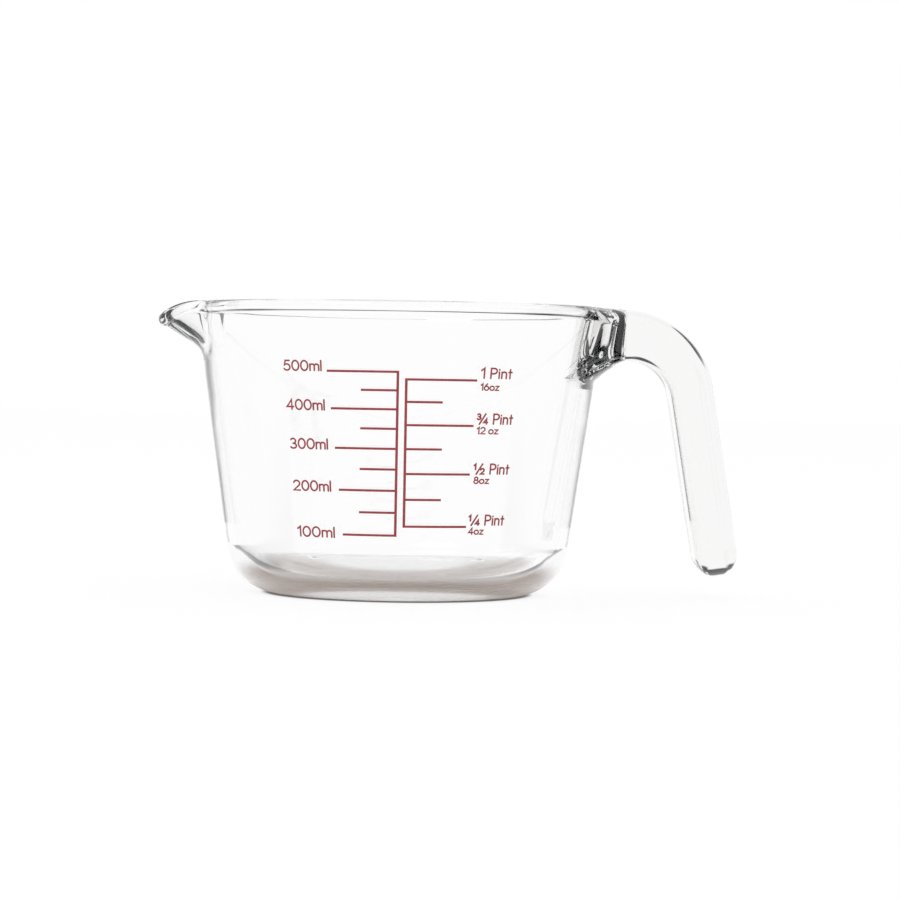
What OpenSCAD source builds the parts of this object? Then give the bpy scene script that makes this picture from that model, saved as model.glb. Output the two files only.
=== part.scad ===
// A pressed glass measuring jug: a leaning round bowl with a pulled spout, an open
// hooked handle, and two enamel scales fired on the outside of the wall.
// The origin is the centre of the base, on the bowl's axis, with +Z up.
// The handle points along +X, the spout along -X, and the scales face -Y.

/* [Bowl] */
// Height of the rim's crest above the base
rim_h = 86.5; // [80:0.5:100]
// Radius of the outer wall line carried down to the base plane
foot_r = 49.2; // [44:0.1:56]
// Lean of the wall from upright, in degrees
wall_lean = 8.1; // [5:0.1:10]
// Thickness of the wall
wall_t = 3; // [2.4:0.1:4]
// Thickness of the floor above the base plane
floor_t = 5.1; // [4:0.1:7]
// Radius of the outer heel
heel_r = 15; // [10:0.5:18]
// Radius of the corner inside the bowl
corner_r = 12; // [8:0.5:15]
// How far the rim's bead swells past each face of the wall
bead_swell = 0.35; // [0.2:0.05:0.8]
// How far the bead's centre stands outside the middle of the wall
bead_out = 0.2; // [0:0.05:0.3]
// Radius of the hollow under the base
recess_r = 28; // [20:0.5:32]
// Depth of the hollow under the base
recess_d = 0.7; // [0.4:0.1:1.5]

/* [Spout] */
// Depth below the rim's crest at which the spout leaves the wall
spout_depth = 16.8; // [14:0.1:20]
// Outward bend of the wall at the middle of the spout, in degrees
spout_bend = 50; // [25:1:55]
// Half the spout's width round the rim, in degrees
spout_half = 18; // [14:0.5:24]
// Length of wall over which the bend is made
spout_bend_l = 5; // [4:0.5:8]
// Share by which the glass is pulled longer at the middle of the spout
spout_pull = 0.1; // [0:0.01:0.2]

/* [Handle] */
// Width of the handle's strap
handle_w = 24; // [18:0.5:32]
// Thickness of the strap along the arm, seen from the side
arm_t = 15.4; // [10:0.2:16]
// Thickness of the strap along the leg, seen from the side
leg_t = 12.9; // [9:0.1:16]
// Drop of the strap's top below the rim's crest
handle_drop = 0.3; // [0.2:0.1:2]
// Straight arm from the wall to the start of the bend
handle_arm = 7; // [5:0.5:14]
// Radius of the bend at the middle of the strap
handle_bend_r = 20.5; // [16:0.5:26]
// Outward lean of the leg from upright, in degrees
handle_lean = 9.4; // [2:0.2:14]
// Height of the leg's free end above the base
handle_foot_h = 6.2; // [3:0.1:20]
// Length over which the free end is rounded
handle_round_l = 8; // [4:0.5:10]
// Squareness of the strap's outer edges, where 2 is fully round
handle_outer_sq = 4; // [2.5:0.5:8]
// Squareness of the strap's inner edges
handle_inner_sq = 6; // [2.5:0.5:8]
// Half the width of the flared root round the wall, in degrees
root_half = 29; // [20:0.5:34]
// Depth below the rim's crest of the root's lowest point on the wall
root_depth = 22; // [20:0.5:30]

/* [Scales] */
// Thickness of the enamel film
film_t = 0.1; // [0.05:0.01:0.2]
// Width of the upright line of each scale
stem_w = 0.75; // [0.4:0.05:1.2]
// Height of each tick
tick_h = 0.65; // [0.4:0.05:1]
// Distance of each upright line from the middle of the print
stem_off = 1.2; // [0.8:0.1:3]
// Reach of the top tick from the middle of the print, seen from the front
long_tick = 21.3; // [16:0.1:26]
// Reach of the lowest long tick on the metric scale
metric_low_tick = 16.1; // [14:0.1:22]
// Reach of the lowest long tick on the ounce scale
ounce_low_tick = 19; // [14:0.1:22]
// Reach of the short ticks
short_tick = 11.6; // [8:0.1:14]
// Volume of one ounce on the scale, in millilitres
ounce_ml = 30; // [28:0.1:30]

/* [Hidden] */
glass_colour = [0.86, 0.9, 0.9, 0.45];
enamel_colour = [0.6, 0.2, 0.24];
round_fn = 96;
eps = 0.01;

// Wall lines and the centres of the heel, the inside corner and the rim's bead
lean_k = tan(wall_lean);
wall_dx = wall_t / cos(wall_lean);
bead_r = wall_t / 2 + bead_swell;
bead_z = rim_h - bead_r;
function wall_out(z) = foot_r + lean_k * z;
function wall_in(z) = wall_out(z) - wall_dx;
bead_x = wall_out(bead_z) - wall_dx / 2 + bead_out;
heel_x = wall_out(heel_r) - heel_r / cos(wall_lean);
corner_z = floor_t + corner_r;
corner_x = wall_in(corner_z) - corner_r / cos(wall_lean);
function on_round(x, z, r) = [x + r * cos(wall_lean), z - r * sin(wall_lean)];

// Where the spout and the handle's root begin on the wall
spout_root_h = rim_h - spout_depth;
root_low_h = rim_h - root_depth;

// The bowl is turned up to just below the root, and lofted with the spout and handle above
split_gap = 2;
split_h = root_low_h - split_gap;

module bowl_outline() {
    polygon([
        [0, recess_d], [recess_r, recess_d], [recess_r, 0], [heel_x, 0],
        on_round(heel_x, heel_r, heel_r), [wall_out(split_h), split_h], [0, split_h]
    ]);
    translate([heel_x, heel_r])
        circle(r = heel_r, $fn = round_fn);
}

module hollow_outline() {
    top = split_h + wall_t;
    polygon([
        [0, floor_t], [corner_x, floor_t], on_round(corner_x, corner_z, corner_r),
        [wall_in(top), top], [0, top]
    ]);
    translate([corner_x, corner_z])
        circle(r = corner_r, $fn = round_fn);
}

// Lower bowl, as one turned section
module turned_bowl() {
    rotate_extrude($fn = round_fn)
        difference() {
            bowl_outline();
            hollow_outline();
        }
}

// Section of the upper wall, laid out along the wall (l, from the spout's root)
// and inward from its outer face (n): up the outer face, over the bead, down the inner
bend_rows = 4;
face_rows = 2;
root_rows = 3;
bead_out_rows = 6;
bead_in_rows = 5;
// The lofted wall reaches down into the turned one, with its faces this far inside, to fuse cleanly
seat_l = 1;
outer_inset = 0.02;
inner_inset = 0.1;
outer_n = outer_inset;
inner_n = wall_t - inner_inset;
root_x = wall_out(spout_root_h);
bead_l = (bead_x - root_x) * sin(wall_lean) + (bead_z - spout_root_h) * cos(wall_lean);
bead_n = (root_x - bead_x) * cos(wall_lean) + (bead_z - spout_root_h) * sin(wall_lean);
lip_out_a = 180 - asin((bead_n - outer_n) / bead_r);
lip_in_a = asin((inner_n - bead_n) / bead_r) - 180;

function wall_l(z, n) = (z - spout_root_h - n * sin(wall_lean)) / cos(wall_lean);
function lip_point(a) = [bead_l + bead_r * cos(a), bead_n - bead_r * sin(a)];
function bend_and_face(n, top) = concat(
    [for (i = [0 : bend_rows]) [spout_bend_l * i / bend_rows, n]],
    [for (i = [1 : face_rows]) [spout_bend_l + (top - spout_bend_l) * i / (face_rows + 1), n]]
);
function reversed(list) = [for (i = [len(list) - 1 : -1 : 0]) list[i]];

root_low_l = wall_l(root_low_h, outer_n);
wall_section = concat(
    [[wall_l(split_h - seat_l, outer_n), outer_n]],
    [for (i = [0 : root_rows - 1]) [root_low_l * (1 - i / root_rows), outer_n]],
    bend_and_face(outer_n, lip_point(lip_out_a)[0]),
    [for (i = [0 : bead_out_rows]) lip_point(lip_out_a - (lip_out_a + wall_lean) * i / bead_out_rows)],
    [for (i = [1 : bead_in_rows]) lip_point(-wall_lean + (lip_in_a + wall_lean) * i / bead_in_rows)],
    reversed(bend_and_face(inner_n, lip_point(lip_in_a)[0])),
    [[wall_l(split_h - seat_l, inner_n), inner_n]]
);
rows = len(wall_section);
low_row = 1;
crest_row = root_rows + bend_rows + 1 + face_rows + bead_out_rows + 1;

// Share of the spout's bend at an angle from its middle, with a slightly broad crown
crown_power = 1.15;
function spout_share(a) =
    abs(a) >= spout_half ? 0 : (1 + cos(180 * pow(abs(a) / spout_half, crown_power))) / 2;

// A section point after the bend, still as [l, n]
function bent(p, bend, pull) =
    let (l = p[0] > 0 ? p[0] * (1 + pull) : p[0])
    let (turn = bend * min(max(l, 0) / spout_bend_l, 1))
    let (arc_r = bend > eps ? spout_bend_l / (bend * PI / 180) : 0)
    let (rest = max(l - spout_bend_l, 0))
    bend < eps || l <= 0 ? [l, p[1]] : [
        arc_r * sin(turn) + rest * cos(turn) + p[1] * sin(turn),
        -arc_r * (1 - cos(turn)) - rest * sin(turn) + p[1] * cos(turn)
    ];

function wall_point(p, a) =
    let (share = spout_share(a - 180))
    let (q = bent(p, spout_bend * share, spout_pull * share))
    let (r = root_x + q[0] * sin(wall_lean) - q[1] * cos(wall_lean))
    [r * cos(a), r * sin(a), spout_root_h + q[0] * cos(wall_lean) + q[1] * sin(wall_lean)];

// Columns round the wall: the root's, the plain side's, the spout's, the other side's
root_cols = 10;
spout_cols = 16;
side_cols = 28;
side_span = 180 - root_half - spout_half;
columns = concat(
    [for (i = [0 : root_cols - 1]) root_half * (2 * i / root_cols - 1)],
    [for (i = [0 : side_cols - 1]) root_half + side_span * i / side_cols],
    [for (i = [0 : spout_cols - 1]) 180 + spout_half * (2 * i / spout_cols - 1)],
    [for (i = [0 : side_cols - 1]) 180 + spout_half + side_span * i / side_cols]
);
cols = len(columns);
wall_points = [for (a = columns, p = wall_section) wall_point(p, a)];

// The handle grows from a window in the outer wall: its edge, round from the low left
// corner, as [column, row]
root_height = crest_row - low_row;
window = concat(
    [for (i = [0 : root_cols - 1]) [i, low_row]],
    [for (j = [0 : root_height - 1]) [root_cols, low_row + j]],
    [for (i = [0 : root_cols - 1]) [root_cols - i, crest_row]],
    [for (j = [0 : root_height - 1]) [0, crest_row - j]]
);
ring_n = len(window);

// Handle: rings through a flared root, a bend and a leaning leg with a rounded end
handle_z = rim_h - handle_drop - arm_t / 2;
bend_x = wall_out(handle_z) + handle_arm;
bend_z = handle_z - handle_bend_r;
bend_a = 90 - handle_lean;
leg_top = [bend_x + handle_bend_r * sin(bend_a), bend_z + handle_bend_r * cos(bend_a)];
leg_l = (leg_top[1] - handle_foot_h) / cos(handle_lean);
root_rings = 7;
arc_rings = 12;
leg_rings = 3;
foot_rings = 7;
foot_power = 2.1;
foot_turn = 87;
// How far out the flare aims first, and how much less it does so at the root's two lower corners
root_pull = 0.85;
root_ease = 0.2;
corner_power = 4;

// Outline of the strap: the window's edge as a square with its corners rounded off
function squared(p, q) =
    let (m = q > 0 ? handle_outer_sq : handle_inner_sq)
    [p, q] / pow(pow(abs(p), m) + pow(abs(q), m), 1 / m);
strap_outline = [for (w = window)
    squared(2 * w[0] / root_cols - 1, 2 * (w[1] - low_row) / root_height - 1)];

// A ring of the strap at [x, z], its path turned down by a degrees from +X
function strap_ring(place, a, w, t) = [for (p = strap_outline)
    let (v = p[1] * t / 2)
    [place[0] + v * sin(a), p[0] * w / 2, place[1] + v * cos(a)]];

function bend_ring(a) =
    strap_ring(
        [bend_x + handle_bend_r * sin(a), bend_z + handle_bend_r * cos(a)],
        a, handle_w, arm_t + (leg_t - arm_t) * a / bend_a);

function leg_ring(l, size) =
    strap_ring(
        [leg_top[0] + l * sin(handle_lean), leg_top[1] - l * cos(handle_lean)],
        bend_a, size * handle_w, size * leg_t);

// The flare of the root runs from the window's edge to the start of the bend
window_ring = [for (w = window) wall_points[(w[0] % cols) * rows + w[1]]];
arm_ring = bend_ring(0);
function low_corner(p, q) = q < 0 ? pow(min(abs(p), -q), corner_power) : 0;
root_pulls = [for (w = window)
    let (p = 2 * w[0] / root_cols - 1, q = 2 * (w[1] - low_row) / root_height - 1)
    root_pull - root_ease * low_corner(p, q)];
function root_ring(t) = [for (k = [0 : ring_n - 1])
    let (from = window_ring[k], to = arm_ring[k])
    let (via = [from[0] + root_pulls[k] * (to[0] - from[0]), to[1], to[2]])
    (1 - t) * (1 - t) * from + 2 * t * (1 - t) * via + t * t * to];

// Size of the ring at a share of the way down the rounded free end
function foot_size(t) = pow(1 - pow(t, foot_power), 1 / foot_power);

handle_rings = concat(
    [for (i = [1 : root_rings]) root_ring(i / root_rings)],
    [for (i = [1 : arc_rings]) bend_ring(bend_a * i / arc_rings)],
    [for (i = [1 : leg_rings]) leg_ring((leg_l - handle_round_l) * i / leg_rings, 1)],
    [for (i = [1 : foot_rings])
        let (t = sin(foot_turn * i / foot_rings))
        leg_ring(leg_l - handle_round_l + handle_round_l * t, foot_size(t))]
);

// Faces: the wall with the window left out, the handle's rings, and its free end
function in_window(i, j) = i < root_cols && j >= low_row && j < crest_row;
function ring_id(ring, k) =
    let (w = window[k % ring_n])
    ring == 0 ? (w[0] % cols) * rows + w[1] : cols * rows + (ring - 1) * ring_n + k % ring_n;
function split_face(a, b, c, d) = [[a, b, c], [a, c, d]];

wall_faces = [for (i = [0 : cols - 1], j = [0 : rows - 1]) if (!in_window(i, j))
    let (near = i * rows, far = ((i + 1) % cols) * rows, up = (j + 1) % rows)
    each split_face(near + j, near + up, far + up, far + j)];
handle_faces = [for (r = [0 : len(handle_rings) - 1], k = [0 : ring_n - 1])
    each split_face(ring_id(r, k), ring_id(r + 1, k), ring_id(r + 1, k + 1), ring_id(r, k + 1))];
end_face = [for (k = [ring_n - 1 : -1 : 0]) ring_id(len(handle_rings), k)];

// Upper wall with its rim, the spout and the handle, as one loft
module lofted_top() {
    polyhedron(
        concat(wall_points, [for (ring = handle_rings, p = ring) p]),
        concat(wall_faces, handle_faces, [end_face])
    );
}

module glass_jug() {
    color(glass_colour)
        union() {
            turned_bowl();
            lofted_top();
        }
}

// Level of a filling: the hollow is a cone less what the rounded corner takes away
corner_turn = 90 - wall_lean;
corner_area = corner_r * corner_r * (tan(corner_turn / 2) - corner_turn * PI / 360);
// The lost corner's centroid lies this share of the radius inside the sharp corner
corner_share = 0.22;
corner_loss = 2 * PI * corner_area * (wall_in(floor_t) - corner_share * corner_r);
mm3_per_ml = 1000;
function fill_z(ml) =
    let (cone = 3 * lean_k * (mm3_per_ml * ml + corner_loss) / PI)
    (pow(cone + pow(wall_in(floor_t), 3), 1 / 3) - wall_in(0)) / lean_k;

// Enamel film on the front of the wall, wider than any mark
film_half = 30;
film_margin = 1;
module enamel_film(low, high) {
    rotate([0, 0, -90 - film_half])
        rotate_extrude(angle = 2 * film_half, $fn = round_fn)
            polygon([
                [wall_out(low), low], [wall_out(low) + film_t, low],
                [wall_out(high) + film_t, high], [wall_out(high), high]
            ]);
}

// Front view of one scale, on the +X side: an upright line and a tick at each level
module scale_drawing(levels, low_tick) {
    last = len(levels) - 1;
    bottom = fill_z(levels[0]) - tick_h / 2;
    top = fill_z(levels[last]) + tick_h / 2;
    translate([stem_off - stem_w / 2, bottom])
        square([stem_w, top - bottom]);
    for (i = [0 : last]) {
        long_reach = low_tick + (long_tick - low_tick) * i / last;
        reach = i % 2 == 0 ? long_reach : short_tick;
        translate([stem_off, fill_z(levels[i]) - tick_h / 2])
            square([reach - stem_off, tick_h]);
    }
}

// One scale: the part of the film that its drawing keeps
module scale_marks(levels, low_tick) {
    intersection() {
        enamel_film(fill_z(levels[0]) - film_margin, fill_z(levels[len(levels) - 1]) + film_margin);
        rotate([90, 0, 0])
            linear_extrude(wall_out(rim_h))
                scale_drawing(levels, low_tick);
    }
}

metric_levels = [for (ml = [100 : 50 : 500]) ml];
ounce_levels = [for (oz = [4 : 2 : 16]) oz * ounce_ml];

module metric_scale() {
    color(enamel_colour)
        mirror([1, 0, 0])
            scale_marks(metric_levels, metric_low_tick);
}

module ounce_scale() {
    color(enamel_colour)
        scale_marks(ounce_levels, ounce_low_tick);
}

glass_jug();
metric_scale();
ounce_scale();
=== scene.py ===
"""A pressed glass measuring jug on a pale floor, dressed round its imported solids.

The glass is rebuilt from the part's own sizes at a finer step, so that it refracts smoothly.
Sizes are in millimetres up to the moment a mesh is made. Shaders, lamp and lens ranges measure in metres.
"""
import math

import bmesh
import bpy
import numpy as np
from mathutils import Matrix, Vector


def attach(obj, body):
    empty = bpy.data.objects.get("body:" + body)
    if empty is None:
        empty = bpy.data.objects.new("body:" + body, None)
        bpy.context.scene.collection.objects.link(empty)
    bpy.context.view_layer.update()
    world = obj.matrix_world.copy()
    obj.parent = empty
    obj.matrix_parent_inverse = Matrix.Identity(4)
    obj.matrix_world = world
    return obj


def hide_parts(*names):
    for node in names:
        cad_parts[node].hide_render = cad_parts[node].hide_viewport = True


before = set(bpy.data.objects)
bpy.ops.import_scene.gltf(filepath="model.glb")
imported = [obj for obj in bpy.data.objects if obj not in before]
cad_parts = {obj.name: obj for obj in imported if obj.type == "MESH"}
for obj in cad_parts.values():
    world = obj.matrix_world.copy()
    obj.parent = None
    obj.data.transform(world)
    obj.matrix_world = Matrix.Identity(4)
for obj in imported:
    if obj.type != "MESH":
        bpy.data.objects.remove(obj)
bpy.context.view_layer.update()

MM = 0.001

# Sizes of the jug, as in the part's source
RIM_H, FOOT_R, LEAN, WALL_T, FLOOR_T = 86.5, 49.2, 8.1, 3.0, 5.1
HEEL_R, CORNER_R, BEAD_SWELL, BEAD_OUT = 15.0, 12.0, 0.35, 0.2
RECESS_R, RECESS_D, RECESS_SOFT = 28.0, 0.7, 6.0
SPOUT_DEPTH, SPOUT_BEND, SPOUT_HALF, BEND_L, SPOUT_PULL, CROWN = 16.8, 50.0, 18.0, 5.0, 0.1, 1.15
HANDLE_W, ARM_T, LEG_T, HANDLE_DROP, HANDLE_ARM = 24.0, 15.4, 12.9, 0.3, 7.0
BEND_R, LEG_LEAN, LEG_FOOT_H, ROUND_L = 20.5, 9.4, 6.2, 8.0
OUTER_SQ, INNER_SQ, FOOT_POWER = 4.0, 6.0, 2.1
ROOT_HALF, ROOT_DEPTH, ROOT_PULL, ROOT_EASE, EASE_POWER = 29.0, 22.0, 0.85, 0.2, 4
FILM_T = 0.1

# The fine mesh is a hair under size, so that it stays inside the box of the coarser solids
HAIR = 0.9995

# Steps of the fine mesh along the section, round the jug and along the handle
BASE_STEPS, SOFT_STEPS, HEEL_STEPS, WALL_STEPS, ROOT_STEPS, RISE_STEPS = 6, 14, 26, 20, 10, 18
BEAD_OUT_STEPS, BEAD_IN_STEPS, INNER_STEPS, CORNER_STEPS, FLOOR_STEPS = 16, 14, 26, 22, 8
ROOT_COLS, SIDE_COLS, SPOUT_COLS = 32, 88, 48
ROOT_RINGS, ARC_RINGS, LEG_RINGS, END_RINGS, END_TURN = 26, 40, 14, 18, 89

# Lettering: gap between signs in cap heights, sharpest mitre of a stroke, and the film's layers
SIGN_GAP = 0.2
LEAST_MITRE = 0.45
INK_LOW, INK_TOP, INK_STEP, INK_LAYERS = 0.01, FILM_T * 0.75, 0.004, 6
METRIC_CAP, PINT_CAP, OUNCE_CAP = 2.75, 2.8, 1.8
BOLD, FINE = 0.5, 0.4

# The photograph's camera, with its angles in degrees
CAMERA_AT = (-9, -900, 65.4)
CAMERA_YAW, CAMERA_PITCH, CAMERA_ROLL = 1.552, -1.420, 0.93
CAMERA_SENSOR, CAMERA_LENS = 36.0, 119.57
CAMERA_NEAR, CAMERA_FAR = 0.01, 50.0

LAMP_AT, LAMP_SIZE, LAMP_POWER = (-0.9, -1.2, 1.6), 0.9, 6.0

# The floor, and where its fades begin and end: the painted shadow ring, the painted contact shadow and the
# part that glass can see
FLOOR_SIDES, FLOOR_REACH, FLOOR_Z = 64, 4000.0, -0.2
SHADOW_RING_INNER, SHADOW_RING_OUTER, SHADOW_RING_BACK = (0.018, 0.029), (0.039, 0.047), (-0.012, 0.022)
PAINTED_CONTACT_EDGE, SEEN_EDGE = (0.0385, 0.0415), (0.042, 0.05)
EYE_WHITE = 0.85

# Light that was mirrored more often than this passes through the glass below this height
LONG_WAY, BASE_TOP = 2.5, 0.02

WHITE = (1.0, 1.0, 1.0, 1.0)
GLASS_TINT, GLASS_DENSITY, GLASS_IOR = (0.7, 0.675, 0.665, 1.0), 9.0, 1.5
INK_STOPS = ((0.35, (0.24, 0.021, 0.026, 1.0)), (0.7, (0.34, 0.038, 0.046, 1.0)))
# the pale floor's colour, and the painted shadow colour of the ring under the heel
FLOOR_PALE, FLOOR_PAINTED_SHADE = (0.95, 0.95, 0.95, 1.0), (0.45, 0.385, 0.35, 1.0)
# painted contact shadow: a dark grey for the thin line just outside the foot ring
FLOOR_PAINTED_CONTACT = (0.12, 0.12, 0.12, 1.0)
FLAG_DARK = (0.02, 0.024, 0.024, 1.0)


def sin_cos(degrees):
    """Sine and cosine of an angle in degrees."""
    t = math.radians(degrees)
    return math.sin(t), math.cos(t)


SIN, COS = sin_cos(LEAN)
TAN = math.tan(math.radians(LEAN))
SPOUT_H = RIM_H - SPOUT_DEPTH
ROOT_LOW = RIM_H - ROOT_DEPTH


def wall_out(z):
    """Radius of the outer wall at a height."""
    return FOOT_R + TAN * z


def wall_in(z):
    """Radius of the inner wall at a height."""
    return wall_out(z) - WALL_T / COS


BEAD_R = WALL_T / 2 + BEAD_SWELL
BEAD_Z = RIM_H - BEAD_R
BEAD_X = wall_out(BEAD_Z) - WALL_T / COS / 2 + BEAD_OUT
HEEL_X = wall_out(HEEL_R) - HEEL_R / COS
CORNER_Z = FLOOR_T + CORNER_R
CORNER_X = wall_in(CORNER_Z) - CORNER_R / COS
SPOUT_X = wall_out(SPOUT_H)


def arc(x, z, r, start, end, n):
    """n points of an arc in the section, after its first one."""
    turn = [sin_cos(start + (end - start) * i / n) for i in range(1, n + 1)]
    return [(x + r * c, z + r * s) for s, c in turn]


def line(start, end, n):
    """n points of a straight stretch of the section, after its first one."""
    (x0, z0), (x1, z1) = start, end
    return [(x0 + (x1 - x0) * i / n, z0 + (z1 - z0) * i / n) for i in range(1, n + 1)]


def section():
    """The jug's half section: from the middle of the base up the outside, over the rim and down to the floor.

    Returns the points and the rows where the handle's root begins and ends.
    """
    pts = line((0, RECESS_D), (RECESS_R - RECESS_SOFT, RECESS_D), BASE_STEPS)
    for i in range(1, SOFT_STEPS + 1):
        fall = (1 + math.cos(math.pi * i / SOFT_STEPS)) / 2
        pts.append((RECESS_R - RECESS_SOFT * (1 - i / SOFT_STEPS), RECESS_D * fall))
    pts += line(pts[-1], (HEEL_X, 0), BASE_STEPS)
    pts += arc(HEEL_X, HEEL_R, HEEL_R, -90, -LEAN, HEEL_STEPS)
    pts += line(pts[-1], (wall_out(ROOT_LOW), ROOT_LOW), WALL_STEPS)
    low_row = len(pts) - 1
    pts += line(pts[-1], (SPOUT_X, SPOUT_H), ROOT_STEPS)
    # the bead's circle meets the two faces of the wall
    out_n = (SPOUT_X - BEAD_X) * COS + (BEAD_Z - SPOUT_H) * SIN
    out_a = 180 - math.degrees(math.asin(out_n / BEAD_R))
    in_a = math.degrees(math.asin((WALL_T - out_n) / BEAD_R)) - 180
    # angles from the wall's own direction, turned into angles from +r
    to_r = 90 - LEAN
    start = to_r - out_a
    s, c = sin_cos(start)
    pts += line(pts[-1], (BEAD_X + BEAD_R * c, BEAD_Z + BEAD_R * s), RISE_STEPS)
    pts += arc(BEAD_X, BEAD_Z, BEAD_R, start, 90, BEAD_OUT_STEPS)
    crest_row = len(pts) - 1
    pts += arc(BEAD_X, BEAD_Z, BEAD_R, 90, to_r - in_a, BEAD_IN_STEPS)
    inner_z = SPOUT_H - WALL_T * SIN
    pts += line(pts[-1], (wall_in(inner_z), inner_z), RISE_STEPS)
    corner_end = (CORNER_X + CORNER_R * COS, CORNER_Z - CORNER_R * SIN)
    pts += line(pts[-1], corner_end, INNER_STEPS)
    pts += arc(CORNER_X, CORNER_Z, CORNER_R, -LEAN, -90, CORNER_STEPS)
    pts += line(pts[-1], (0, FLOOR_T), FLOOR_STEPS)[:-1]
    return pts, low_row, crest_row


def spout_share(a):
    """Share of the spout's bend at an angle from its middle."""
    t = abs(a) / SPOUT_HALF
    return 0.0 if t >= 1 else (1 + math.cos(math.pi * t ** CROWN)) / 2


def wall_point(r, z, a):
    """A section point at an angle round the jug, bent outward where the spout is."""
    share = spout_share(a % 360 - 180)
    along = (r - SPOUT_X) * SIN + (z - SPOUT_H) * COS
    if share > 0 and along > 0:
        depth = (SPOUT_X - r) * COS + (z - SPOUT_H) * SIN
        along *= 1 + SPOUT_PULL * share
        bend = math.radians(SPOUT_BEND * share)
        turn = bend * min(along / BEND_L, 1)
        arc_r = BEND_L / bend
        rest = max(along - BEND_L, 0)
        bent_along = arc_r * math.sin(turn) + rest * math.cos(turn) + depth * math.sin(turn)
        bent_depth = -arc_r * (1 - math.cos(turn)) - rest * math.sin(turn) + depth * math.cos(turn)
        r = SPOUT_X + bent_along * SIN - bent_depth * COS
        z = SPOUT_H + bent_along * COS + bent_depth * SIN
    s, c = sin_cos(a)
    return (r * c, r * s, z)


def column_angles():
    """Angles of the mesh's columns: the root, one side, the spout, the other side."""
    side = 180 - ROOT_HALF - SPOUT_HALF
    out = [ROOT_HALF * (2 * i / ROOT_COLS - 1) for i in range(ROOT_COLS)]
    out += [ROOT_HALF + side * i / SIDE_COLS for i in range(SIDE_COLS)]
    out += [180 + SPOUT_HALF * (2 * i / SPOUT_COLS - 1) for i in range(SPOUT_COLS)]
    out += [180 + SPOUT_HALF + side * i / SIDE_COLS for i in range(SIDE_COLS)]
    return out


def curve(start, via, end, t):
    """A point of the curve that leaves start toward via and comes to end from there."""
    return tuple((1 - t) ** 2 * a + 2 * t * (1 - t) * v + t * t * b for a, v, b in zip(start, via, end))


def handle_rings(window_ring, pulls, outline):
    """Rings of the handle from its flared root to its rounded end."""
    top_z = RIM_H - HANDLE_DROP - ARM_T / 2
    bend_x = wall_out(top_z) + HANDLE_ARM
    bend_z = top_z - BEND_R
    bend_a = 90 - LEG_LEAN

    def ring(x, z, a, w, t):
        s, c = sin_cos(a)
        return [(x + q * t / 2 * s, p * w / 2, z + q * t / 2 * c) for p, q in outline]

    def on_bend(a):
        s, c = sin_cos(a)
        thick = ARM_T + (LEG_T - ARM_T) * a / bend_a
        return ring(bend_x + BEND_R * s, bend_z + BEND_R * c, a, HANDLE_W, thick)

    arm = on_bend(0)
    rings = []
    for i in range(1, ROOT_RINGS + 1):
        row = []
        for a, b, pull in zip(window_ring, arm, pulls):
            via = (a[0] + pull * (b[0] - a[0]), b[1], b[2])
            row.append(curve(a, via, b, i / ROOT_RINGS))
        rings.append(row)
    rings += [on_bend(bend_a * i / ARC_RINGS) for i in range(1, ARC_RINGS + 1)]
    s, c = sin_cos(bend_a)
    leg_x, leg_z = bend_x + BEND_R * s, bend_z + BEND_R * c
    lean_s, lean_c = sin_cos(LEG_LEAN)
    straight = (leg_z - LEG_FOOT_H) / lean_c - ROUND_L

    def on_leg(down, size):
        return ring(leg_x + down * lean_s, leg_z - down * lean_c, bend_a, size * HANDLE_W, size * LEG_T)

    rings += [on_leg(straight * i / LEG_RINGS, 1) for i in range(1, LEG_RINGS + 1)]
    for i in range(1, END_RINGS + 1):
        t = math.sin(math.radians(END_TURN * i / END_RINGS))
        rings.append(on_leg(straight + ROUND_L * t, (1 - t ** FOOT_POWER) ** (1 / FOOT_POWER)))
    return rings


def new_object(name, verts, faces, smooth=True):
    """A mesh object from points in millimetres, with its faces turned outward."""
    mesh = bpy.data.meshes.new(name)
    mesh.from_pydata([tuple(c * MM for c in v) for v in verts], [], faces)
    bm = bmesh.new()
    bm.from_mesh(mesh)
    bmesh.ops.recalc_face_normals(bm, faces=bm.faces)
    bm.to_mesh(mesh)
    bm.free()
    mesh.polygons.foreach_set("use_smooth", [smooth] * len(mesh.polygons))
    obj = bpy.data.objects.new(name, mesh)
    bpy.context.scene.collection.objects.link(obj)
    return obj


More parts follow.
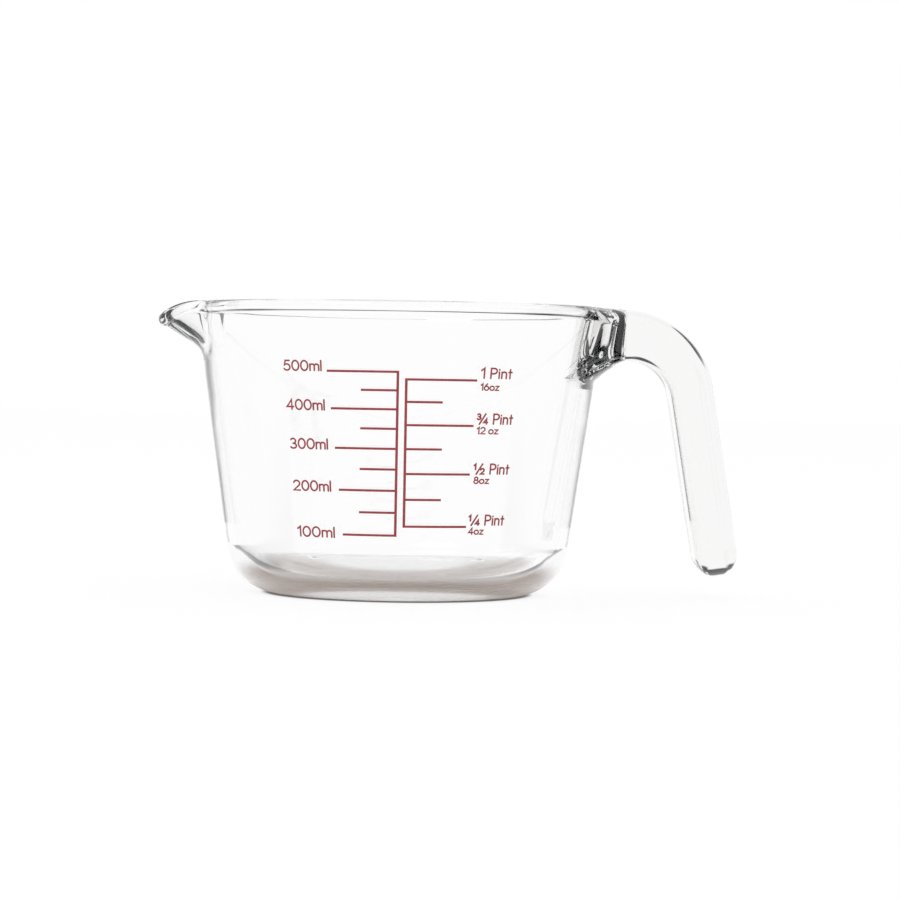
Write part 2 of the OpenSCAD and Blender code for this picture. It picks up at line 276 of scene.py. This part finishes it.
def glass_jug():
    """The whole glass as one closed mesh: the turned bowl, the pulled spout and the handle grown from it."""
    pts, low, crest = section()
    angles = column_angles()
    rows, cols = len(pts), len(angles)
    verts = [wall_point(r, z, a) for a in angles for r, z in pts]
    height = crest - low
    window = [(i, low) for i in range(ROOT_COLS)]
    window += [(ROOT_COLS, low + j) for j in range(height)]
    window += [(ROOT_COLS - i, crest) for i in range(ROOT_COLS)]
    window += [(0, crest - j) for j in range(height)]
    outline, pulls = [], []
    for i, j in window:
        p, q = 2 * i / ROOT_COLS - 1, 2 * (j - low) / height - 1
        m = OUTER_SQ if q > 0 else INNER_SQ
        size = (abs(p) ** m + abs(q) ** m) ** (1 / m)
        outline.append((p / size, q / size))
        # the lower corners leave the wall more gently
        pulls.append(ROOT_PULL - ROOT_EASE * (min(abs(p), -q) ** EASE_POWER if q < 0 else 0))
    ids = [[(i % cols) * rows + j for i, j in window]]
    for ring in handle_rings([verts[k] for k in ids[0]], pulls, outline):
        ids.append(list(range(len(verts), len(verts) + len(ring))))
        verts += ring
    faces = []
    for i in range(cols):
        a, b = i * rows, (i + 1) % cols * rows
        for j in range(rows - 1):
            if not (i < ROOT_COLS and low <= j < crest):
                faces.append((a + j, a + j + 1, b + j + 1, b + j))
    n = len(window)
    for one, two in zip(ids, ids[1:]):
        faces += [(one[k], two[k], two[(k + 1) % n], one[(k + 1) % n]) for k in range(n)]
    end, base, floor_mid = len(verts), len(verts) + 1, len(verts) + 2
    last = [verts[k] for k in ids[-1]]
    verts += [tuple(sum(v[k] for v in last) / n for k in range(3)), (0, 0, RECESS_D), (0, 0, FLOOR_T)]
    faces += [(ids[-1][k], end, ids[-1][(k + 1) % n]) for k in range(n)]
    for i in range(cols):
        a, b = i * rows, (i + 1) % cols * rows
        faces += [(base, a, b), (floor_mid, b + rows - 1, a + rows - 1)]
    verts = [tuple(HAIR * c for c in v) for v in verts]
    return new_object("jug_glass", verts, faces)


def bow(x, y, rx, ry, start, end, n=18):
    """Points of an arc of an ellipse."""
    turn = [sin_cos(start + (end - start) * i / n) for i in range(n + 1)]
    return [(x + rx * c, y + ry * s) for s, c in turn]


def arch(x, half, y):
    """The arch of a small letter, from its stem at x to its other foot."""
    return [(x, y - 0.1)] + bow(x + half, y, half, 0.2, 180, 0) + [(x + 2 * half, 0.0)]


# Each sign has its width and its strokes, in a box of cap height 1
SIGNS = {
    "0": (0.62, [bow(0.31, 0.5, 0.31, 0.5, 90, 450, 30)]),
    "1": (0.28, [[(0.0, 0.78), (0.24, 1.0), (0.24, 0.0)]]),
    "2": (0.62, [bow(0.3, 0.7, 0.29, 0.3, 165, -38) + [(0.0, 0.0), (0.62, 0.0)]]),
    "3": (0.58, [bow(0.28, 0.75, 0.24, 0.25, 150, -90) + bow(0.28, 0.25, 0.29, 0.25, 80, -150)]),
    "4": (0.64, [[(0.47, 0.0), (0.47, 1.0), (0.0, 0.27), (0.64, 0.27)]]),
    "5": (0.58, [[(0.53, 1.0), (0.15, 1.0), (0.06, 0.55)] + bow(0.27, 0.32, 0.3, 0.32, 125, -150)]),
    "6": (0.62, [bow(0.31, 0.31, 0.31, 0.31, 150, 510, 28), [(0.04, 0.46), (0.2, 0.76), (0.42, 1.0)]]),
    "8": (0.58, [bow(0.29, 0.76, 0.22, 0.24, 90, 450, 26), bow(0.29, 0.26, 0.29, 0.26, 90, 450, 28)]),
    "m": (0.76, [[(0.0, 0.0), (0.0, 0.66)], arch(0.0, 0.19, 0.46), arch(0.38, 0.19, 0.46)]),
    "l": (0.03, [[(0.0, 0.0), (0.0, 1.03)]]),
    "P": (0.5, [[(0.0, 0.0), (0.0, 1.0)] + bow(0.24, 0.73, 0.26, 0.27, 90, -90) + [(0.0, 0.46)]]),
    "i": (0.03, [[(0.0, 0.0), (0.0, 0.64)], [(0.0, 0.86), (0.0, 0.9)]]),
    "n": (0.4, [[(0.0, 0.0), (0.0, 0.64)], arch(0.0, 0.2, 0.44)]),
    "t": (0.28, [[(0.13, 0.9), (0.13, 0.0)], [(0.0, 0.62), (0.28, 0.62)]]),
    "o": (0.62, [bow(0.31, 0.32, 0.31, 0.32, 90, 450, 28)]),
    "z": (0.5, [[(0.02, 0.63), (0.48, 0.63), (0.0, 0.0), (0.5, 0.0)]]),
    " ": (0.12, []),
}


def small(sign, x, y, size=0.54):
    """A sign's strokes made small and moved, for a fraction."""
    return [[(x + px * size, y + py * size) for px, py in stroke] for stroke in SIGNS[sign][1]]


for top, bottom in ("34", "12", "14"):
    slash = [(0.22, -0.02), (0.74, 1.02)]
    SIGNS[top + "/" + bottom] = (0.98, small(top, 0.0, 0.46) + [slash] + small(bottom, 0.6, 0.0))

# Each label has its signs, its left and right ends along the wall from the front, and its foot's height
METRIC_LABELS = [
    ("500ml", -35.6, -23.4, 66.3),
    ("400ml", -34.5, -22.3, 55.2),
    ("300ml", -33.3, -21.2, 44.1),
    ("200ml", -32.1, -20.1, 32.1),
    ("100ml", -30.6, -18.8, 18.9),
]
PINT_LABELS = [
    ("1 Pint", 23.0, 32.9, 64.9),
    (("3/4", *" Pint"), 22.0, 33.6, 51.9),
    (("1/2", *" Pint"), 21.4, 32.9, 37.6),
    (("1/4", *" Pint"), 20.2, 31.7, 22.9),
]
OUNCE_LABELS = [
    ("16oz", 23.0, 28.7, 61.5),
    ("12 oz", 22.1, 28.8, 49.1),
    ("8oz", 21.5, 26.2, 34.9),
    ("4oz", 20.2, 24.8, 20.3),
]


def left_of(step):
    """The direction to the left of a step."""
    return np.array([-step[1], step[0]])


def round_end(point, step, half, turns):
    """Edge points of a stroke's round end, as pairs of left and right."""
    pairs = []
    for t in turns:
        s, c = sin_cos(t)
        on, side = step * half * s, left_of(step) * half * c
        pairs.append((point + on + side, point + on - side))
    return pairs


def ribbon(points, width):
    """The outline of a stroke with round ends, as pairs of left and right edge points."""
    pts = [np.array(p, float) for p in points]
    steps = [(b - a) / np.linalg.norm(b - a) for a, b in zip(pts, pts[1:])]
    half = width / 2
    pairs = round_end(pts[0], steps[0], half, (-60, -30))
    for k, p in enumerate(pts):
        one, two = steps[max(k - 1, 0)], steps[min(k, len(steps) - 1)]
        normal = left_of(one + two)
        normal /= np.linalg.norm(normal)
        reach = half / max(abs(normal @ left_of(one)), LEAST_MITRE)
        pairs.append((p + normal * reach, p - normal * reach))
    return pairs + round_end(pts[-1], steps[-1], half, (30, 60))


def stroke_faces(start, n):
    """Faces of a stroke of n cross sections, each with four points: left low and top, right low and top."""
    faces = []
    first, last = start, start + 4 * (n - 1)
    for a in range(first, last, 4):
        b = a + 4
        faces += [(a + 1, a + 3, b + 3, b + 1), (a, b, b + 2, a + 2)]
        faces += [(a, a + 1, b + 1, b), (a + 2, b + 2, b + 3, a + 3)]
    faces += [(first, first + 2, first + 3, first + 1), (last, last + 1, last + 3, last + 2)]
    return faces


def figures(name, labels, cap, stroke):
    """Enamel lettering on the outer wall, with a cap height and a stroke's width."""
    verts, faces = [], []
    count = 0
    for signs, left_end, right_end, foot in labels:
        natural = sum(SIGNS[s][0] for s in signs) + SIGN_GAP * (len(signs) - 1)
        wide = (right_end - left_end) / (natural * cap)
        around_r = wall_out(foot)
        x = 0.0
        for s in signs:
            for points in SIGNS[s][1]:
                placed = [(left_end + (x + px) * cap * wide, foot + py * cap) for px, py in points]
                pairs = ribbon(placed, stroke)
                # strokes that cross lie at slightly different heights, so that no two faces coincide
                lift = INK_TOP + INK_STEP * (count % INK_LAYERS)
                count += 1
                faces += stroke_faces(len(verts), len(pairs))
                for u, z in (edge for pair in pairs for edge in pair):
                    for up in (INK_LOW, lift):
                        r, t = wall_out(z) + up / COS, u / around_r
                        verts.append((r * math.sin(t), -r * math.cos(t), z))
            x += SIGNS[s][0] + SIGN_GAP
    return new_object(name, verts, faces, smooth=False)


class Tree:
    """The node tree of a material or a world, with short ways to add nodes and to join them."""

    def __init__(self, owner):
        owner.use_nodes = True
        self.nodes = owner.node_tree.nodes
        self.links = owner.node_tree.links

    def put(self, node, inputs):
        """Sets a node's inputs, each to a plain value or to another node's output."""
        for name, value in inputs.items():
            if isinstance(value, bpy.types.NodeSocket):
                self.links.new(value, node.inputs[name])
            else:
                node.inputs[name].default_value = value

    def add(self, kind, inputs=None):
        """A new node of a kind, with its inputs."""
        node = self.nodes.new("ShaderNode" + kind)
        self.put(node, inputs or {})
        return node

    def maths(self, kind, *values):
        """One operation on one or two values."""
        node = self.add("Math", dict(enumerate(values)))
        node.operation = kind
        return node.outputs["Value"]

    def chain(self, kind, first, *others):
        """One operation that takes in several values in turn."""
        for value in others:
            first = self.maths(kind, first, value)
        return first

    def product(self, *values):
        return self.chain("MULTIPLY", *values)

    def most(self, *values):
        return self.chain("MAXIMUM", *values)

    def fade(self, value, low, high):
        """A smooth rise from 0 at the low value to 1 at the high one."""
        node = self.add("MapRange")
        node.interpolation_type = "SMOOTHSTEP"
        self.put(node, {"Value": value, "From Min": low, "From Max": high})
        return node.outputs["Result"]

    def fall(self, value, low, high):
        """A smooth fall from 1 at the low value to 0 at the high one."""
        return self.maths("SUBTRACT", 1.0, self.fade(value, low, high))

    def between(self, value, low, high, soft):
        """1 between two values, with soft ends."""
        rise = self.fade(value, low - soft, low + soft)
        return self.product(rise, self.fall(value, high - soft, high + soft))

    def colour(self, share, one, two):
        """A colour that goes from one to two with a share."""
        node = self.add("Mix")
        node.data_type = "RGBA"
        self.put(node, {"Factor": share, "A": one, "B": two})
        return node.outputs["Result"]

    def surface(self, share, one, two):
        """A surface that goes from one shader to two with a share."""
        return self.add("MixShader", {0: share, 1: one, 2: two}).outputs["Shader"]


def glass_material():
    """Clear pressed glass, faintly tinted through its depth and a little wavy on its faces."""
    mat = bpy.data.materials.new("pressed_glass")
    tree = Tree(mat)
    shader = tree.nodes["Principled BSDF"]
    place = tree.add("TexCoord").outputs["Object"]
    wave = tree.add("TexNoise", {"Vector": place, "Scale": 45.0, "Detail": 1.5})
    bump = tree.add("Bump", {"Strength": 0.12, "Distance": 0.0006, "Height": wave.outputs["Fac"]})
    tree.put(shader, {
        "Base Color": WHITE,
        "IOR": GLASS_IOR,
        "Transmission Weight": 1.0,
        "Roughness": 0.0,
        "Normal": bump.outputs["Normal"],
    })
    # shadows pass, and so does light that has bounced about inside the base for long
    path = tree.add("LightPath").outputs
    height = tree.add("SeparateXYZ", {"Vector": place}).outputs["Z"]
    long_way = tree.maths("GREATER_THAN", path["Glossy Depth"], LONG_WAY)
    low = tree.maths("LESS_THAN", height, BASE_TOP)
    through = tree.most(path["Is Shadow Ray"], tree.product(long_way, low))
    clear = tree.add("BsdfTransparent").outputs["BSDF"]
    depth = tree.add("VolumeAbsorption", {"Color": GLASS_TINT, "Density": GLASS_DENSITY})
    tree.put(tree.nodes["Material Output"], {
        "Surface": tree.surface(through, shader.outputs["BSDF"], clear),
        "Volume": depth.outputs["Volume"],
    })
    return mat


def enamel_material():
    """Dark red fired enamel with uneven ink and a soft gloss."""
    mat = bpy.data.materials.new("red_enamel")
    tree = Tree(mat)
    place = tree.add("TexCoord").outputs["Object"]
    ink = tree.add("TexNoise", {"Vector": place, "Scale": 900.0, "Detail": 3.0}).outputs["Fac"]
    ramp = tree.add("ValToRGB", {"Fac": ink})
    for stop, (position, colour) in zip(ramp.color_ramp.elements, INK_STOPS):
        stop.position = position
        stop.color = colour
    gloss = tree.add("MapRange", {"Value": ink, "To Min": 0.28, "To Max": 0.5})
    tree.put(tree.nodes["Principled BSDF"], {
        "Base Color": ramp.outputs["Color"],
        "Roughness": gloss.outputs["Result"],
    })
    return mat


def floor_material():
    """A pale floor that looks white to the eye and keeps its shadow.

    Glass and gloss see it near the foot, and look past it elsewhere. A shadow ring and a contact shadow are
    painted in under the foot.
    """
    mat = bpy.data.materials.new("white_floor")
    tree = Tree(mat)
    shader = tree.nodes["Principled BSDF"]
    path = tree.add("LightPath").outputs
    place = tree.add("TexCoord").outputs["Object"]
    reach = tree.add("VectorMath", {0: place})
    reach.operation = "LENGTH"
    far = reach.outputs["Value"]
    back = tree.add("SeparateXYZ", {"Vector": place}).outputs["Y"]
    # painted shadow: the foot's shade is painted into the floor's colour as a darker ring under the heel,
    # which fades from the front to the back
    ring = tree.product(tree.fade(far, *SHADOW_RING_INNER), tree.fall(far, *SHADOW_RING_OUTER), tree.fall(back, *SHADOW_RING_BACK))
    tree.put(shader, {
        "Roughness": 0.9,
        "Specular IOR Level": 0.0,
        "Base Color": tree.colour(ring, FLOOR_PALE, FLOOR_PAINTED_SHADE),
    })
    # painted shadow: a dark contact line is painted into the white that the eye sees, just outside the foot
    # ring
    painted_contact_shadow = tree.fall(far, *PAINTED_CONTACT_EDGE)
    glow = tree.add("Emission", {"Color": tree.colour(painted_contact_shadow, WHITE, FLOOR_PAINTED_CONTACT)})
    to_eye = tree.product(path["Is Camera Ray"], EYE_WHITE)
    lit = tree.surface(to_eye, shader.outputs["BSDF"], glow.outputs["Emission"])
    seen = tree.most(path["Is Glossy Ray"], path["Is Transmission Ray"])
    past = tree.product(seen, tree.fade(far, *SEEN_EDGE))
    clear = tree.add("BsdfTransparent").outputs["BSDF"]
    tree.put(tree.nodes["Material Output"], {"Surface": tree.surface(past, lit, clear)})
    return mat


def studio_world():
    """White all round, with dark flags that are seen only through one body of glass.

    A flag lies between two heights of the direction, z, and within limits of its turn, which is 0 straight
    ahead of the camera and grows to the right, or of its side, which is the turn's size.
    """
    world = bpy.data.worlds.new("studio")
    bpy.context.scene.world = world
    tree = Tree(world)
    place = tree.add("TexCoord").outputs["Generated"]
    x, y, z = tree.add("SeparateXYZ", {"Vector": place}).outputs
    turn = tree.maths("ARCTAN2", x, y)
    side = tree.maths("ABSOLUTE", turn)
    wave = tree.maths("COSINE", tree.product(turn, 8.0))
    # eight strips, between the eight main directions
    strips = tree.fade(tree.product(wave, -1.0), 0.55, 0.85)

    def flag(low, high, soft, *limits):
        return tree.product(tree.between(z, low, high, soft), *limits)

    below = flag(-0.88, -0.25, 0.04, strips, tree.fall(side, 1.6, 1.8))
    flank = flag(-0.05, 0.14, 0.03, strips, tree.between(side, 0.9, 1.5, 0.05))
    ahead = flag(0.34, 0.62, 0.05, tree.between(side, 0.14, 1.4, 0.06))
    tip = flag(0.44, 0.8, 0.04, tree.fall(side, 0.2, 0.35))
    straight = tree.most(below, flank, ahead, tip)

    # light that was mirrored inside the glass comes from the dim sides of the room
    middle = flag(-0.05, 0.5, 0.03, tree.fade(side, 0.1, 0.2), tree.between(turn, -0.9, 1.8, 0.05))
    lower = flag(-0.38, -0.24, 0.03, tree.between(side, 0.25, 1.8, 0.05))
    right = flag(-0.38, -0.2, 0.03, tree.between(turn, 0.12, 0.5, 0.04))
    left = flag(-0.7, -0.33, 0.03, tree.between(turn, -1.7, -0.35, 0.05))
    upper = flag(0.34, 0.62, 0.05, tree.fall(side, 0.3, 0.5))
    edge = flag(-0.14, -0.005, 0.012, tree.fall(side, 0.2, 0.3))
    path = tree.add("LightPath").outputs
    mirrored = tree.maths("GREATER_THAN", path["Glossy Depth"], 0.5)
    once = tree.product(mirrored, tree.most(middle, lower, right, left, upper, edge))

    # light that was mirrored more than once
    steep = tree.product(tree.fade(tree.maths("ABSOLUTE", z), 0.25, 0.4), tree.fade(turn, -0.4, -0.2))
    deep = tree.fall(z, -0.45, -0.35)
    behind = flag(-0.4, -0.14, 0.03, tree.between(turn, -1.5, -0.5, 0.05))
    again = tree.maths("GREATER_THAN", path["Glossy Depth"], 1.5)
    often = tree.product(again, tree.most(steep, deep, behind))

    # the flags show through one body of glass only, so that the two walls of the bowl stay clear
    alone = tree.maths("LESS_THAN", path["Transmission Depth"], 2.5)
    dark = tree.product(tree.most(straight, once, often), alone, path["Is Transmission Ray"])
    tree.put(tree.nodes["Background"], {"Strength": 1.0, "Color": tree.colour(dark, WHITE, FLAG_DARK)})


def camera():
    """The photograph's camera: level with the upper bowl, about 0.9 m away."""
    yaw, pitch, roll = (math.radians(v) for v in (CAMERA_YAW, CAMERA_PITCH, CAMERA_ROLL))
    ahead = Vector((math.sin(yaw) * math.cos(pitch), math.cos(yaw) * math.cos(pitch), math.sin(pitch)))
    right = Vector((math.cos(yaw), -math.sin(yaw), 0))
    up = right.cross(ahead)
    side = right * math.cos(roll) + up * math.sin(roll)
    top = up * math.cos(roll) - right * math.sin(roll)
    data = bpy.data.cameras.new("camera")
    data.sensor_width = CAMERA_SENSOR
    data.lens = CAMERA_LENS
    data.clip_start = CAMERA_NEAR
    data.clip_end = CAMERA_FAR
    obj = bpy.data.objects.new("camera", data)
    turned = Matrix((side, top, -ahead)).transposed().to_4x4()
    obj.matrix_world = Matrix.Translation(Vector(CAMERA_AT) * MM) @ turned
    bpy.context.scene.collection.objects.link(obj)
    bpy.context.scene.camera = obj


def floor():
    """A wide round floor just under the foot ring."""
    turns = [sin_cos(360 * k / FLOOR_SIDES) for k in range(FLOOR_SIDES)]
    verts = [(FLOOR_REACH * c, FLOOR_REACH * s, FLOOR_Z) for s, c in turns]
    obj = new_object("floor", verts, [tuple(range(FLOOR_SIDES))], smooth=False)
    obj.data.materials.append(floor_material())


def lamp():
    """One soft lamp, high on the left in front."""
    data = bpy.data.lights.new("soft_lamp", "AREA")
    data.shape = "DISK"
    data.size = LAMP_SIZE
    data.energy = LAMP_POWER
    obj = bpy.data.objects.new("soft_lamp", data)
    obj.location = LAMP_AT
    obj.rotation_euler = (-Vector(obj.location)).to_track_quat("-Z", "Y").to_euler()
    bpy.context.scene.collection.objects.link(obj)


bpy.context.scene.view_settings.view_transform = "Standard"
camera()
studio_world()
lamp()
floor()

jug = glass_jug()
jug.data.materials.append(glass_material())
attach(jug, "root")
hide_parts("glass_jug")

enamel = enamel_material()
for node in ("metric_scale", "ounce_scale"):
    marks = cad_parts[node]
    marks.data.materials.clear()
    marks.data.materials.append(enamel)
for name, labels, cap, stroke in (
    ("metric_figures", METRIC_LABELS, METRIC_CAP, BOLD),
    ("pint_figures", PINT_LABELS, PINT_CAP, BOLD),
    ("ounce_figures", OUNCE_LABELS, OUNCE_CAP, FINE),
):
    piece = figures(name, labels, cap, stroke)
    piece.data.materials.append(enamel)
    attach(piece, "root")
